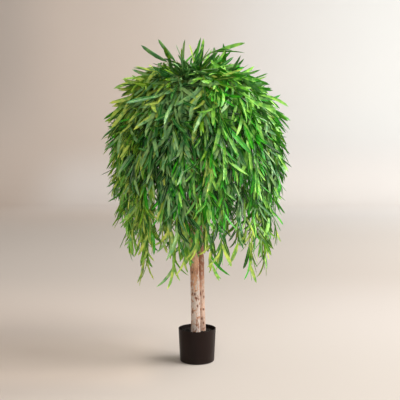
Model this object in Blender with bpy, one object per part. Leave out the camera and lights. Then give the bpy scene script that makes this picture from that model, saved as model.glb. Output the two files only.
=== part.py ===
"""Artificial weeping willow, 1.5 m tall: two wooden poles in a weighted black nursery pot, under an
umbrella of arching sprays with narrow leaves.

Metres, +Z up. The origin is the centre of the pot's underside, and the front of the plant faces -Y.
A heading of 0 degrees points to the front, and positive headings turn towards +X.
"""

import math
import random
from dataclasses import dataclass

import bmesh
import bpy
from mathutils import Matrix, Vector
from mathutils.bvhtree import BVHTree

TREE_HEIGHT = 1.500
CLEARANCE = 0.0003

# Pot and what weights it
POT_HEIGHT = 0.155
POT_RIM_RADIUS = 0.0875
POT_BASE_RADIUS = 0.0800
POT_CORNER = 0.006
POT_EDGE = 0.0006
POT_WALL = 0.0022
POT_INNER_CORNER = 0.0020
POT_FLOOR = 0.0030
POT_SIDES = 36
FILL_BELOW_RIM = 0.018

# Poles, which stand on the fill
GROUND = POT_HEIGHT - FILL_BELOW_RIM
FLARE = 1.05
FLARE_HEIGHT = 0.05
POLE_SIDES = 10
POLE_STEP = 0.150
POLE_SWAY = 0.0025
POLE_SWAY_TURNS = 9.0
POLE_EVEN = 0.3
SEAT_OVERRUN = 0.003

# Crown: its axis goes through the head of the main pole, and its spaces reach further to the right
LOPSIDED = 0.100
SPACE_MARGIN = 0.002
DOME_FLOOR_HEIGHT = 0.860
DOME_FLOOR_RISE = 0.360
DOME_FLOOR_RADIUS = 0.385
CREST_FLOOR = 1.305
CREST_FLOOR_SLOPE = 0.30
CURTAIN_INSIDE = 0.236
CURTAIN_ARCH_FLOOR = 1.090
CURTAIN_ARCH_INSIDE = 0.120
INNER_OUTSIDE = 0.224
INNER_CEILING = 1.060

# Boughs, which leave the poles at levels spread so that none crosses its neighbours
BOUGH_LEVEL_SKIP = 5
BOUGH_SIDES = 6
BOUGH_ROOT_RADIUS = 0.0075
BOUGH_TIP_RADIUS = 0.0050
BOUGH_TIP_REACH = 0.160
BOUGH_TIP_HEIGHT = 1.142
BOUGH_STEPS = 4
BOUGH_BULGE = 0.06
SECOND_POLE_SIDE = 122.0
SECOND_POLE_SPAN = 50.0
MAIN_POLE_FORK = 0.985
MAIN_POLE_FORK_STEP = 0.0165
SECOND_POLE_FORK = 0.950
SECOND_POLE_FORK_STEP = 0.010

# Twigs. A side twig is thinner than its stem, and every twig tapers.
TWIG_SIDES = 3
SIDE_TWIG = 0.72
TWIG_TAPER = 0.62
SIDE_TWIG_LIFT = 8.0
SIDE_TWIG_BARE = 0.05
INNER_START = 0.905
INNER_START_STEP = 0.018
DOME_START_BELOW_HEAD = 0.014
DOME_START_STEP = 0.022
STEM_FOOT = 0.012
ARCH_STEP = 0.065
HANG_STEP = 0.240
SAG = 150.0
STEEPEST = 92.0
LAST_LEAF_DROP = 0.118
CREST_STEM = 0.075
CREST_STEM_RADIUS = 0.0042
CREST_TWIGS = 8
CREST_TWIG = 0.110
CREST_TWIG_BEND = 17.0
CREST_TWIG_BARE = 0.03
CREST_LOPSIDED = 0.30
CREST_LEAF_STEP = 0.034

# Leaves, larger than life and fewer than the real plant has
LEAF_LENGTH = 0.148
LEAF_WIDTH = 0.030
LEAF_THICKNESS = 0.0028
LEAF_WIDEST = 0.40
LEAF_THICKEST = 0.12
LEAF_SPREAD = (26.0, 42.0)
LEAF_SPREAD_LOST = 0.45
LEAF_LEAN = 0.37
LEAF_LEAN_LOW = 0.05
LEAN_FOOT = 0.55
LEAN_FULL = 0.95
LEAF_GAP = 0.0008
LEAF_TRIES = 6
SEED = 1871
GROWTH_ATTEMPTS = 6

UP = Vector((0.0, 0.0, 1.0))

POT_BLACK = (0.018, 0.014, 0.013, 1.0)
FILL_GREY = (0.020, 0.019, 0.018, 1.0)
BARK_BROWN = (0.46, 0.30, 0.20, 1.0)
LEAF_GREEN = (0.12, 0.28, 0.05, 1.0)


@dataclass(frozen=True)
class Pole:
    """A pole: where it stands, how far it leans for each metre up, and its radii and top."""

    name: str
    foot: tuple
    lean: tuple
    radius: float
    tip_radius: float
    top: float


MAIN_POLE = Pole("trunk_main", (-0.0065, 0.0), (-0.022, 0.0), 0.0212, 0.0100, 1.268)
SECOND_POLE = Pole("trunk_second", (0.0290, 0.0200), (-0.036, 0.020), 0.0135, 0.0090, 1.100)


@dataclass(frozen=True)
class Tier:
    """A ring of foliage masses: how their stems leave the wood, arch over and hang to their hems.

    Angles are in degrees. Each side twig is the share of the stem's arch where it leaves, its turn, its
    own arch, and how much higher than the mass's hem it ends.
    """

    name: str
    first_heading: float
    lopsided: float
    stem_radius: float
    rise: float
    fall: float
    arch: float
    leaf_step: float
    bare: float
    hems: tuple
    side_twigs: tuple

    @property
    def count(self):
        return len(self.hems)

    def heading_of(self, number):
        return self.first_heading + number * 360.0 / self.count

    def reach(self, degrees):
        """How far a twig that leaves along a heading goes, against one that goes to the front."""
        return 1.0 + self.lopsided * math.sin(math.radians(degrees))


CURTAIN = Tier(
    name="curtain",
    first_heading=-73.0,
    lopsided=0.13,
    stem_radius=0.0042,
    rise=20.0,
    fall=-92.0,
    arch=0.243,
    leaf_step=0.118,
    bare=0.05,
    hems=(0.46, 0.375, 0.38, 0.40, 0.39, 0.38, 0.44, 0.47, 0.45, 0.48, 0.44, 0.46),
    side_twigs=(
        (0.10, 17.0, 0.222, 0.05),
        (0.16, -18.0, 0.212, 0.11),
        (0.55, 42.0, 0.120, 0.24),
        (0.62, -44.0, 0.115, 0.14),
    ),
)
DOME = Tier(
    name="dome",
    first_heading=-62.0,
    lopsided=0.15,
    stem_radius=0.0036,
    rise=56.0,
    fall=-50.0,
    arch=0.272,
    leaf_step=0.062,
    bare=0.05,
    hems=(0.99, 1.03, 0.98, 1.00, 1.00, 1.03, 1.01, 1.00),
    side_twigs=(
        (0.18, 17.0, 0.255, 0.03),
        (0.24, -18.0, 0.240, 0.06),
        (0.50, 29.0, 0.155, 0.08),
        (0.58, -31.0, 0.140, 0.05),
    ),
)
INNER = Tier(
    name="inner",
    first_heading=0.0,
    lopsided=0.04,
    stem_radius=0.0038,
    rise=46.0,
    fall=-91.0,
    arch=0.200,
    leaf_step=0.090,
    bare=0.06,
    hems=(0.45, 0.60, 0.57, 0.62, 0.58, 0.61),
    side_twigs=((0.35, 34.0, 0.130, 0.06), (0.45, -36.0, 0.120, 0.03)),
)


def clear_scene():
    for found in list(bpy.data.objects):
        bpy.data.objects.remove(found, do_unlink=True)


def finish_material(name, colour, roughness):
    made = bpy.data.materials.new(name)
    made.use_nodes = True
    shader = made.node_tree.nodes["Principled BSDF"]
    shader.inputs["Base Color"].default_value = colour
    shader.inputs["Roughness"].default_value = roughness
    shader.inputs["Metallic"].default_value = 0.0
    return made


def object_from(name, shape, material=None):
    """A new object that takes over the bmesh shape."""
    mesh = bpy.data.meshes.new(name)
    shape.to_mesh(mesh)
    shape.free()
    made = bpy.data.objects.new(name, mesh)
    bpy.context.scene.collection.objects.link(made)
    if material:
        mesh.materials.append(material)
    return made


def smooth(made, degrees=40.0):
    made.data.shade_smooth()
    made.data.set_sharp_from_angle(angle=math.radians(degrees))


def turned(name, profile, material):
    """A solid turned about +Z from (radius, height) points. The profile starts and ends on the axis."""
    shape = bmesh.new()
    line = [shape.verts.new((radius, 0.0, height)) for radius, height in profile]
    edges = [shape.edges.new(pair) for pair in zip(line, line[1:])]
    bmesh.ops.spin(
        shape,
        geom=line + edges,
        axis=(0, 0, 1),
        cent=(0, 0, 0),
        steps=POT_SIDES,
        angle=math.tau,
        use_merge=True,
    )
    bmesh.ops.remove_doubles(shape, verts=shape.verts, dist=1e-6)
    bmesh.ops.dissolve_degenerate(shape, edges=shape.edges, dist=1e-6)
    bmesh.ops.recalc_face_normals(shape, faces=shape.faces)
    made = object_from(name, shape, material)
    smooth(made)
    return made


def heading(degrees):
    """Horizontal unit vector: 0 points to the front, and positive turns towards +X."""
    angle = math.radians(degrees)
    return Vector((math.sin(angle), -math.cos(angle), 0.0))


def climb(degrees, up):
    """Direction that climbs at up degrees along a heading."""
    return heading(degrees) * math.cos(math.radians(up)) + UP * math.sin(math.radians(up))


def limb(points, radii, sides, turn=0.0, level=False):
    """A closed tube with flat ends: a ring of sides corners round each point, each bridged to the next.
    The rings lie square to the path, or level."""
    shape = bmesh.new()
    across = None
    rings = []
    for i, point in enumerate(points):
        along = UP if level else (points[min(i + 1, len(points) - 1)] - points[max(i - 1, 0)]).normalized()
        across = along.orthogonal() if across is None else across - along * across.dot(along)
        across.normalize()
        frame = Matrix((across, along.cross(across), along)).transposed().to_4x4()
        place = Matrix.Translation(point) @ frame @ Matrix.Rotation(turn, 4, "Z")
        at_end = i in (0, len(points) - 1)
        ring = bmesh.ops.create_circle(shape, cap_ends=at_end, segments=sides, radius=radii[i], matrix=place)
        rings.append(ring["verts"])
    for lower, upper in zip(rings, rings[1:]):
        both = {edge for ring in (lower, upper) for vert in ring for edge in vert.link_edges}
        loops = [e for e in both if all(v in lower for v in e.verts) or all(v in upper for v in e.verts)]
        bmesh.ops.bridge_loops(shape, edges=loops)
    bmesh.ops.recalc_face_normals(shape, faces=shape.faces)
    return shape


def tapered(count, first, last):
    return [first + (last - first) * i / (count - 1) for i in range(count)]


def pole_axis(pole, height):
    """Point of a pole's axis at a height: a steady lean with a slow sway."""
    above = height - GROUND
    sway = POLE_SWAY * math.sin(above * POLE_SWAY_TURNS + math.tau * pole.foot[1] / 0.03)
    return Vector((pole.foot[0] + pole.lean[0] * above + sway, pole.foot[1] + pole.lean[1] * above, height))


def pole_radius(pole, height):
    """Nearly even below the crown, tapering to the tip, with a slight flare at the foot."""
    share = (height - GROUND) / (pole.top - GROUND)
    thinned = max(0.0, (share - POLE_EVEN) / (1.0 - POLE_EVEN))
    taper = pole.radius + (pole.tip_radius - pole.radius) * thinned
    flare = max(0.0, 1.0 - (height - GROUND) / FLARE_HEIGHT) ** 2
    return taper * (1.0 + (FLARE - 1.0) * flare)


def pole_shape(pole, extra=0.0, overrun=0.0):
    """The pole's solid, or a thicker and longer one that cuts the seats of what meets it."""
    foot = GROUND + CLEARANCE - overrun
    top = pole.top + overrun
    heights = [foot, foot + FLARE_HEIGHT / 2]
    heights += tapered(1 + round((top - foot) / POLE_STEP), foot + FLARE_HEIGHT, top)
    points = [pole_axis(pole, z) for z in heights]
    radii = [pole_radius(pole, max(z, GROUND)) + extra for z in heights]
    return limb(points, radii, POLE_SIDES, level=True)


CROWN_AXIS = pole_axis(MAIN_POLE, MAIN_POLE.top)


def crown_point(degrees, reach, height):
    """Point at a reach from the crown's axis, along a heading. The crown reaches further to the right."""
    stretch = 1.0 + LOPSIDED * math.sin(math.radians(degrees))
    return Vector((CROWN_AXIS.x, CROWN_AXIS.y, height)) + heading(degrees) * reach * stretch


def crown_reach(point):
    """Distance of a point from the crown's axis, with the crown's stretch to the right taken out."""
    out = Vector((point.x - CROWN_AXIS.x, point.y - CROWN_AXIS.y))
    if out.length < 1e-6:
        return 0.0
    return out.length / (1.0 + LOPSIDED * out.x / out.length)


def droop(start, degrees, rise, fall, arch, end):
    """Points of a stem that climbs at rise degrees, bends to fall degrees along its arch, then hangs to
    the height end, ever steeper."""
    points = [start.copy()]
    steps = max(2, round(arch / ARCH_STEP))
    for i in range(steps):
        points.append(points[-1] + climb(degrees, rise + (fall - rise) * (i + 0.5) / steps) * arch / steps)
    hang = points[-1].z - end
    steps = max(1, round(hang / HANG_STEP))
    for i in range(steps if hang > HANG_STEP / 3 else 0):
        steep = math.radians(max(-STEEPEST, fall - SAG * hang * (i + 0.5) / steps))
        out = heading(degrees) * math.cos(steep) / -math.sin(steep)
        points.append(points[-1] + (out - UP) * hang / steps)
    return points


def at_length(points, wanted):
    """Point and direction of a path at a length along it."""
    for first, second in zip(points, points[1:]):
        length = (second - first).length
        if wanted <= length:
            return first.lerp(second, wanted / length), (second - first).normalized()
        wanted -= length
    return points[-1].copy(), (points[-1] - points[-2]).normalized()


def path_length(points):
    return sum((b - a).length for a, b in zip(points, points[1:]))


class Space:
    """The room that one mass of foliage keeps to: a wedge about the crown's axis, between two tiers."""

    def __init__(self, tier, degrees):
        self.tier = tier
        self.walls = []
        if tier:
            half = 180.0 / tier.count
            for side in (-1, 1):
                self.walls.append(heading(degrees + side * (half - 90.0)))

    def within_tier(self, point):
        reach = crown_reach(point)
        share = min(1.0, reach / DOME_FLOOR_RADIUS)
        dome_floor = DOME_FLOOR_HEIGHT + DOME_FLOOR_RISE * math.sqrt(1.0 - share**3)
        crest_floor = CREST_FLOOR + CREST_FLOOR_SLOPE * reach
        if self.tier is None:
            return crest_floor < point.z <= TREE_HEIGHT
        if self.tier is DOME:
            return dome_floor + SPACE_MARGIN < point.z < crest_floor - SPACE_MARGIN
        if self.tier is CURTAIN:
            inside = CURTAIN_ARCH_INSIDE if point.z > CURTAIN_ARCH_FLOOR else CURTAIN_INSIDE
            return point.z < dome_floor - SPACE_MARGIN and reach > inside
        return reach < INNER_OUTSIDE and point.z < INNER_CEILING

    def holds(self, points):
        for point in points:
            out = Vector((point.x - CROWN_AXIS.x, point.y - CROWN_AXIS.y, 0.0))
            if any(out.dot(wall) < SPACE_MARGIN for wall in self.walls):
                return False
            if not self.within_tier(point):
                return False
        return True


def leaf_corners(root, along, face, length, width, thickness):
    """Root, tip, two sides and the ridge of a leaf."""
    side = along.cross(face).normalized()
    middle = root + along * length * LEAF_WIDEST
    ridge = root + along * length * LEAF_THICKEST + face * thickness
    return [root, root + along * length, middle + side * width / 2, middle - side * width / 2, ridge]


LEAF_FACES = ((0, 2, 4), (0, 4, 3), (4, 2, 1), (4, 1, 3), (0, 3, 2), (1, 2, 3))


def leaf_shape(corners):
    shape = bmesh.new()
    verts = [shape.verts.new(corner) for corner in corners]
    for face in LEAF_FACES:
        shape.faces.new([verts[i] for i in face])
    bmesh.ops.recalc_face_normals(shape, faces=shape.faces)
    return shape


def leaf_direction(along, outwards, turn, spread, lean):
    """Leaves splay from the twig by spread degrees, to the side that turn gives, and lean out of the crown;
    their face looks out."""
    side = along.cross(outwards).normalized()
    up = side.cross(along).normalized()
    away = side * math.cos(turn) + up * math.sin(turn)
    spread = math.radians(spread)
    direction = (along * math.cos(spread) + away * math.sin(spread) + outwards * lean).normalized()
    face = (up + outwards * 0.4).normalized()
    face = (face - direction * face.dot(direction)).normalized()
    return direction, face


class Mass:
    """One mass of foliage, as a list of closed shapes that a union joins."""

    def __init__(self, name, space, degrees, limbs, seed):
        self.name = name
        self.space = space
        self.degrees = degrees
        self.limbs = limbs
        self.rng = random.Random(seed)
        self.twigs = []
        self.leaves = []
        self.trees = []

    def add_twig(self, points, first, last, turn):
        self.twigs.append(limb(points, tapered(len(points), first, last), TWIG_SIDES, turn))

    def fits(self, corners):
        """True if a leaf stays in the mass's space and clear of the wood and of the mass's other leaves."""
        middle = [corners[0].lerp(corners[i], 0.6) for i in (1, 2, 3)]
        outer = [corners[1].lerp(corners[i], 0.5) for i in (2, 3)]
        if not self.space.holds(corners + middle + outer):
            return False
        centre = sum(corners, Vector()) / len(corners)
        out = (corners[4] - centre).normalized() * LEAF_GAP
        grown = [c + (c - centre).normalized() * LEAF_GAP - out for c in corners[:4]] + [corners[4] + out]
        shape = leaf_shape(grown)
        tree = BVHTree.FromBMesh(shape)
        shape.free()
        if any(tree.overlap(other) for other in self.limbs + self.trees):
            return False
        self.trees.append(tree)
        return True

    def add_leaf(self, root, along, turn, spread, size):
        """A leaf whose root is sunk in its twig. One that doesn't fit is turned, and in the end left out."""
        outwards = Vector((root.x - CROWN_AXIS.x, root.y - CROWN_AXIS.y, 0.06)).normalized()
        length = LEAF_LENGTH * size
        high = min(1.0, max(0.0, (root.z - LEAN_FOOT) / (LEAN_FULL - LEAN_FOOT)))
        lean = LEAF_LEAN_LOW + (LEAF_LEAN - LEAF_LEAN_LOW) * high
        for _ in range(LEAF_TRIES):
            direction, face = leaf_direction(along, outwards, turn, spread, lean)
            corners = leaf_corners(root, direction, face, length, LEAF_WIDTH * size, LEAF_THICKNESS)
            if self.fits(corners):
                self.leaves.append(leaf_shape(corners))
                return
            turn += self.rng.uniform(0.6, 1.5)
            spread *= self.rng.uniform(0.75, 1.0)

    def add_leaves(self, points, bare, step):
        """Leaves to alternate sides of a twig, and one at its tip."""
        length = path_length(points)
        place = bare + step * self.rng.uniform(0.2, 0.6)
        right = self.rng.random() < 0.5
        while place < length - step * 0.35:
            root, along = at_length(points, place)
            out = self.rng.uniform(-0.3, 1.1)
            turn = out if right else math.pi - out
            spread = self.rng.uniform(*LEAF_SPREAD) * (1.0 - LEAF_SPREAD_LOST * place / length)
            self.add_leaf(root, along, turn, spread, self.rng.uniform(0.86, 1.08))
            right = not right
            place += step * self.rng.uniform(0.8, 1.2)
        end, along = at_length(points, length - 0.004)
        self.add_leaf(end, along, self.rng.uniform(0.0, math.tau), 7.0, self.rng.uniform(0.8, 0.95))

    def fused(self, material, seats=()):
        """The mass as one object, and whether it came out as one closed surface: a union of its twigs and
        leaves, cut back from the wood that it meets."""
        made = object_from(self.name, self.twigs[0], material)
        parts = bpy.data.collections.new(self.name + "_parts")
        bpy.context.scene.collection.children.link(parts)
        for shape in self.twigs[1:] + self.leaves:
            piece = object_from(self.name + "_piece", shape)
            bpy.context.scene.collection.objects.unlink(piece)
            parts.objects.link(piece)
        union = made.modifiers.new("fuse", "BOOLEAN")
        union.operation = "UNION"
        union.operand_type = "COLLECTION"
        union.collection = parts
        for seat in seats:
            cut_seat(made, seat)
        apply_modifiers(made)
        for piece in list(parts.objects):
            bpy.data.objects.remove(piece, do_unlink=True)
        bpy.data.collections.remove(parts)
        return made, closed(made.data)


def evaluated_mesh(made):
    return bpy.data.meshes.new_from_object(made.evaluated_get(bpy.context.evaluated_depsgraph_get()))


def closed(mesh):
    """True if every edge of the mesh has exactly two faces, and the mesh is all one piece."""
    shape = bmesh.new()
    shape.from_mesh(mesh)
    shut = all(edge.is_manifold for edge in shape.edges)
    shape.verts.ensure_lookup_table()
    reached = {shape.verts[0]}
    waiting = [shape.verts[0]]
    while waiting:
        vert = waiting.pop()
        for edge in vert.link_edges:
            other = edge.other_vert(vert)
            if other not in reached:
                reached.add(other)
                waiting.append(other)
    whole = len(reached) == len(shape.verts)
    shape.free()
    return shut and whole


def apply_modifiers(made):
    """Keeps the object's evaluated mesh and drops the modifiers that made it."""
    mesh = evaluated_mesh(made)
    made.modifiers.clear()
    made.data = mesh


def cut_seat(made, seat):
    """Cuts the limb's end to the surface of the pole that it meets."""
    cut = made.modifiers.new("seat", "BOOLEAN")
    cut.operation = "DIFFERENCE"
    cut.object = seat


def grow_twigs(mass, tier, stem, arch, end):
    """The stem and its side twigs, as (points, bare length) pairs, in the order in which they branch."""
    grown = [(stem, tier.bare)]
    for share, turn, own_arch, lift in tier.side_twigs:
        root, _ = at_length(stem, share * arch)
        rise = tier.rise + (tier.fall - tier.rise) * share
        turn += mass.rng.uniform(-3.0, 3.0)
        own_arch *= tier.reach(mass.degrees + turn) * mass.rng.uniform(0.95, 1.05)
        lift *= mass.rng.uniform(0.7, 1.3)
        points = droop(root, mass.degrees + turn, rise + SIDE_TWIG_LIFT, tier.fall, own_arch, end + lift)
        if mass.space.holds(points[1:]):
            grown.append((points, SIDE_TWIG_BARE))
    return grown


def grow_mass(tier, number, start, limbs, attempt, along=None):
    """One mass of a tier, whose stem leaves start. Where along is given, the stem's foot keeps to it."""
    degrees = tier.heading_of(number)
    name = f"{tier.name}_{number + 1:02d}"
    mass = Mass(name, Space(tier, degrees), degrees, limbs, f"{name} {SEED} {attempt}")
    arch = tier.arch * tier.reach(degrees) * mass.rng.uniform(0.97, 1.03)
    end = tier.hems[number] + LAST_LEAF_DROP
    if along:
        stem = [start] + droop(start + along * STEM_FOOT, degrees, tier.rise, tier.fall, arch, end)
    else:
        stem = droop(start, degrees, tier.rise, tier.fall, arch, end)
    for i, (points, bare) in enumerate(grow_twigs(mass, tier, stem, arch, end)):
        thick = tier.stem_radius * (1.0 if i == 0 else SIDE_TWIG)
        mass.add_twig(points, thick, thick * TWIG_TAPER, turn=i * 0.5)
        mass.add_leaves(points, bare, tier.leaf_step)
    return mass


def grow_crest(head, limbs, attempt):
    """The tuft on top: a short upright stem, and short twigs that go up and out of it all round."""
    mass = Mass("crest", Space(None, 0.0), 0.0, limbs, f"crest {SEED} {attempt}")
    top = head + Vector((0.010, 0.0, CREST_STEM))
    stem = [head + UP * CLEARANCE, head + UP * STEM_FOOT, head.lerp(top, 0.5), top]
    mass.add_twig(stem, CREST_STEM_RADIUS, CREST_STEM_RADIUS * TWIG_TAPER, turn=0.0)
    for i in range(CREST_TWIGS):
        degrees = 20.0 + i * 360.0 / CREST_TWIGS + mass.rng.uniform(-8.0, 8.0)
        root, _ = at_length(stem, path_length(stem) * (0.45 + 0.07 * ((i * 3) % CREST_TWIGS)))
        length = CREST_TWIG * mass.rng.uniform(0.85, 1.15) * (1.0 + CREST_LOPSIDED * heading(degrees).x)
        rise = mass.rng.uniform(50.0, 64.0)
        points = [root]
        for step in range(3):
            points.append(points[-1] + climb(degrees, rise - CREST_TWIG_BEND * step) * length / 3)
        thick = CREST_STEM_RADIUS * SIDE_TWIG
        mass.add_twig(points, thick, thick * TWIG_TAPER, turn=i * 0.5)
        mass.add_leaves(points, CREST_TWIG_BARE, CREST_LEAF_STEP)
    root = top - UP * CREST_STEM_RADIUS
    leaning = Vector((0.25, 0.0, 1.0)).normalized()
    corners = leaf_corners(
        root, leaning, -heading(0.0), (TREE_HEIGHT - root.z) / leaning.z, LEAF_WIDTH, LEAF_THICKNESS,
    )
    mass.leaves.append(leaf_shape(corners))
    return mass


def bough_path(number):
    """A bough's pole and centreline, from inside its pole to the tip where its curtain begins."""
    degrees = CURTAIN.heading_of(number)
    level = (number * BOUGH_LEVEL_SKIP) % CURTAIN.count
    if abs(degrees - SECOND_POLE_SIDE) < SECOND_POLE_SPAN:
        pole = SECOND_POLE
        height = SECOND_POLE_FORK + SECOND_POLE_FORK_STEP * level
    else:
        pole = MAIN_POLE
        height = MAIN_POLE_FORK + MAIN_POLE_FORK_STEP * level
    tip = crown_point(degrees, BOUGH_TIP_REACH, BOUGH_TIP_HEIGHT)
    foot = pole_axis(pole, height)
    approach = foot.lerp(tip, 0.5) + UP * BOUGH_BULGE * (tip - foot).length
    share = tapered(BOUGH_STEPS + 1, 0.0, 1.0)
    return pole, [foot.lerp(approach, t).lerp(approach.lerp(tip, t), t) for t in share]


def build_pot(black, grey):
    """The pot, with a rounded foot and a thin wall, and the fill that stands in it."""
    slope = (POT_RIM_RADIUS - POT_BASE_RADIUS) / POT_HEIGHT
    corner = [
        (POT_BASE_RADIUS - POT_CORNER * (1 - math.sin(a)), POT_CORNER * (1 - math.cos(a)))
        for a in (0.0, math.pi / 6, math.pi / 3, math.pi / 2)
    ]
    inner_foot = POT_BASE_RADIUS - POT_WALL + slope * POT_FLOOR - POT_INNER_CORNER
    inner_rim = POT_RIM_RADIUS - POT_WALL
    rim = [(POT_RIM_RADIUS, POT_HEIGHT - POT_EDGE), (POT_RIM_RADIUS - POT_EDGE, POT_HEIGHT)]
    inside = [(inner_rim, POT_HEIGHT), (inner_foot, POT_FLOOR), (0.0, POT_FLOOR)]
    turned("pot", [(0.0, 0.0)] + corner + rim + inside, black)

    floor = POT_FLOOR + CLEARANCE
    wall = []
    for height in (floor, GROUND):
        share = (height - POT_FLOOR) / (POT_HEIGHT - POT_FLOOR)
        wall.append((inner_foot + (inner_rim - inner_foot) * share - 2 * CLEARANCE, height))
    turned("pot_fill", [(0.0, floor)] + wall + [(0.0, GROUND)], grey)


def build_bough(number, seats, bark):
    """One bough, cut to its pole. Returns its solid's tree, its tip and its direction there."""
    pole, points = bough_path(number)
    shape = limb(points, tapered(len(points), BOUGH_ROOT_RADIUS, BOUGH_TIP_RADIUS), BOUGH_SIDES)
    tree = BVHTree.FromBMesh(shape)
    bough = object_from(f"bough_{number + 1:02d}", shape, bark)
    cut_seat(bough, seats[pole])
    apply_modifiers(bough)
    smooth(bough)
    return tree, points[-1], (points[-1] - points[-2]).normalized()


def build_mass(grow, green, *seats_met):
    """Grows a mass, with another chance where its union doesn't come out closed, and counts its leaves."""
    for attempt in range(GROWTH_ATTEMPTS):
        mass = grow(attempt)
        made, shut = mass.fused(green, seats_met)
        if shut or attempt == GROWTH_ATTEMPTS - 1:
            break
        bpy.data.objects.remove(made, do_unlink=True)
    print(mass.name, len(mass.leaves), "leaves at attempt", attempt + 1)
    return len(mass.leaves)


def build():
    clear_scene()
    black = finish_material("pot_plastic", POT_BLACK, 0.45)
    grey = finish_material("pot_fill", FILL_GREY, 0.9)
    bark = finish_material("bark", BARK_BROWN, 0.85)
    green = finish_material("leaves", LEAF_GREEN, 0.5)
    build_pot(black, grey)

    limbs = []
    seats = {}
    for pole in (MAIN_POLE, SECOND_POLE):
        shape = pole_shape(pole)
        limbs.append(BVHTree.FromBMesh(shape))
        smooth(object_from(pole.name, shape, bark))
        seats[pole] = object_from(pole.name + "_seat", pole_shape(pole, CLEARANCE, SEAT_OVERRUN))

    boughs = [build_bough(number, seats, bark) for number in range(CURTAIN.count)]
    limbs += [tree for tree, _, _ in boughs]

    count = 0
    for number, (_, tip, along) in enumerate(boughs):
        start = tip + along * CLEARANCE
        count += build_mass(lambda attempt: grow_mass(CURTAIN, number, start, limbs, attempt, along), green)
    for number in range(INNER.count):
        near_second = abs(INNER.heading_of(number) - SECOND_POLE_SIDE) < SECOND_POLE_SPAN / 2
        pole = SECOND_POLE if near_second else MAIN_POLE
        start = pole_axis(pole, INNER_START + INNER_START_STEP * (number % 3))
        count += build_mass(
            lambda attempt: grow_mass(INNER, number, start, limbs, attempt), green, seats[pole],
        )
    head = pole_axis(MAIN_POLE, MAIN_POLE.top)
    count += build_mass(lambda attempt: grow_crest(head, limbs, attempt), green)
    crest_room = limb([head, head + UP * CREST_STEM], [CREST_STEM_RADIUS * 1.5] * 2, BOUGH_SIDES)
    limbs.append(BVHTree.FromBMesh(crest_room))
    crest_room.free()
    for number in range(DOME.count):
        below = DOME_START_BELOW_HEAD + DOME_START_STEP * (number % 2)
        start = pole_axis(MAIN_POLE, MAIN_POLE.top - below)
        count += build_mass(
            lambda attempt: grow_mass(DOME, number, start, limbs, attempt), green, seats[MAIN_POLE],
        )
    print("leaves in all", count)
    for seat in seats.values():
        bpy.data.objects.remove(seat, do_unlink=True)


build()
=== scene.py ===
"""Looks of the potted artificial willow: bark, leaves, twigs, pot and fill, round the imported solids.

Metres, +Z up, in the frame of the solids: the origin is the centre of the pot's underside, and the front
of the plant faces -Y. A heading of 0 degrees points to the front, and positive headings turn towards +X.
Angles are in degrees, apart from those within a leaf, which are in radians.
"""

import math
import random
from contextlib import contextmanager
from dataclasses import dataclass, field

import bmesh
import bpy
import numpy as np
from mathutils import Matrix, Vector, noise


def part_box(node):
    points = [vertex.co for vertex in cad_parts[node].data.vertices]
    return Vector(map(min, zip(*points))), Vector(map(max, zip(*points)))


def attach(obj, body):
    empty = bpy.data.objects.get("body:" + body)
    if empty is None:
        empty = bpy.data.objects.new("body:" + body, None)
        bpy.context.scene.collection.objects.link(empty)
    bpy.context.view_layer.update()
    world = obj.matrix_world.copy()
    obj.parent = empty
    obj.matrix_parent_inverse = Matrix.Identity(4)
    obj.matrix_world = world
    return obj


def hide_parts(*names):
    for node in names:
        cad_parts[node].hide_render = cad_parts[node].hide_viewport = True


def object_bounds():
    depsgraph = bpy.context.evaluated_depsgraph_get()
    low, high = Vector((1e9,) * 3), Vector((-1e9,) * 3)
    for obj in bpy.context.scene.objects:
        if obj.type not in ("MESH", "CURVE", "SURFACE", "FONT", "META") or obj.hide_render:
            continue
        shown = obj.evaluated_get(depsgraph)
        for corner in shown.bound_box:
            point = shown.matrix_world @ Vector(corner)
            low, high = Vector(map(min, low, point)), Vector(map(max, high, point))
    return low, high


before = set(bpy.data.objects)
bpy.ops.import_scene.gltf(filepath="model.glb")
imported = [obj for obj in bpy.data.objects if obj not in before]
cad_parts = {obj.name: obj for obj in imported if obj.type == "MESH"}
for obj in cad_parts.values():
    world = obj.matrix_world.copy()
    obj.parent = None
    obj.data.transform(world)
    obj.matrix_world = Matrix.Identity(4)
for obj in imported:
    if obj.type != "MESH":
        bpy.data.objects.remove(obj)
CAD_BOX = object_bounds()
BODY = "root"
UP = Vector((0.0, 0.0, 1.0))
SEED = 1871

# Corners this near to a height or a radius count as on it
NEAR = 1e-4

# Pot and fill, measured from their solids
POT_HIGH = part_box("pot")[1]
POT_HEIGHT = POT_HIGH.z
POT_RIM_RADIUS = POT_HIGH.x
POT_BASE_RADIUS = 0.0800
POT_WALL = 0.0022
POT_FLOOR = 0.0030
POT_FOOT_BEVEL = 0.006
POT_RIM_BEVEL = 0.0009
POT_INNER_BEVEL = 0.002
POT_SIDES = 128
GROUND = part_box("pot_fill")[1].z
FILL_GAP = 0.0005
FILL_RINGS = 26
FILL_SIDES = 96
FILL_RELIEF = 0.0022
FILL_SINK = 0.1
FILL_FINENESS = 90.0
FILL_NOISE = (0.9, 2.1, 4)
LUMPS = 1150
LUMP_RADIUS = (0.0012, 0.0036)
LUMP_SQUEEZE = (0.6, 1.15)
LUMP_ROUGHNESS = 0.16
LUMP_RISE = 0.25
LUMP_UNDER_POLE = 0.4

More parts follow.
